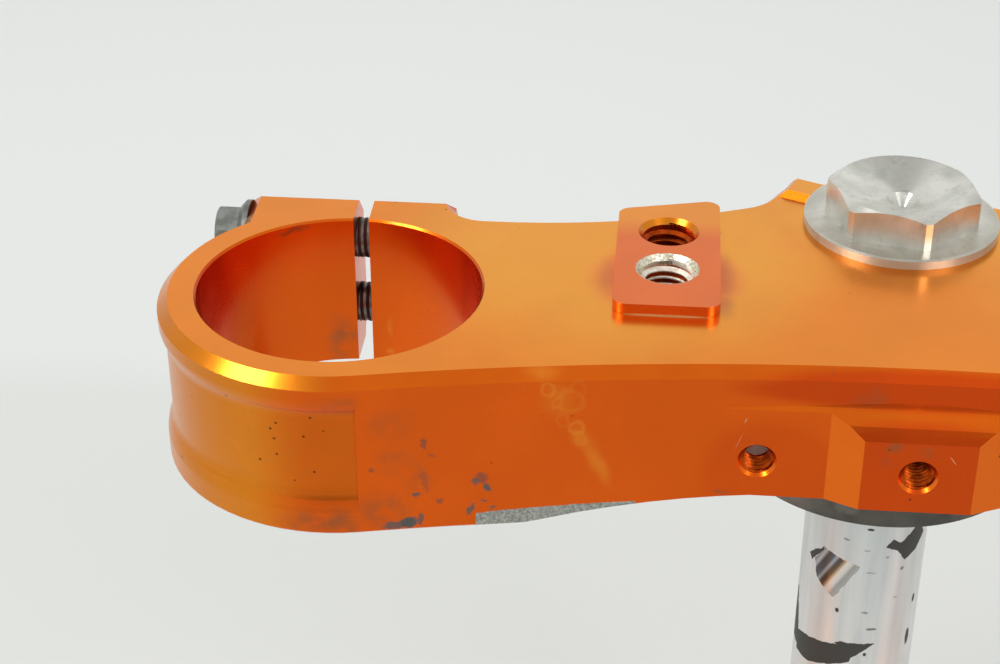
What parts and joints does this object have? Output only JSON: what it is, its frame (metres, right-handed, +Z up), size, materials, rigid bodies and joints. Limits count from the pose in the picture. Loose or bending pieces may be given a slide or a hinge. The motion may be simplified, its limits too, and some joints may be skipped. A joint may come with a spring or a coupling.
{
  "type": "motorcycle triple clamp",
  "caption": "Orange anodised triple clamp set: two clamps that hold a motorcycle's fork tubes, joined by a steering stem with its flanged bolt and dust cap.",
  "frame": {"origin": "where the steering axis meets the bottom clamp's lower face", "axes": "+Z up the steering axis, -Y towards the bike's front wheel, +X across from fork to fork"},
  "size_m": [0.2906, 0.1058, 0.2265],
  "materials": {
    "orange_anodised": "satin anodised, sun-faded on top, chipped below",
    "bare_aluminium": "turned, worn at the rim",
    "stem_metal": "bright, with dark flaked patches",
    "zinc_steel": "zinc plated",
    "cap_plastic": "dusty moulded",
    "seal_rubber": "matte"
  },
  "bodies": {
    "root": {"top_clamp": "orange_anodised", "bottom_clamp": "orange_anodised", "steering_stem": "stem_metal", "stem_bolt": "bare_aluminium", "dust_cap": "cap_plastic", "stem_o_ring": "seal_rubber", "stem_pinch_bolt": "zinc_steel", "top_left_upper_bolt": "zinc_steel", "top_left_lower_bolt": "zinc_steel", "top_right_upper_bolt": "zinc_steel", "top_right_lower_bolt": "zinc_steel", "bottom_left_upper_bolt": "zinc_steel", "bottom_left_lower_bolt": "zinc_steel", "bottom_right_upper_bolt": "zinc_steel", "bottom_right_lower_bolt": "zinc_steel"}
  },
  "joints": []
}
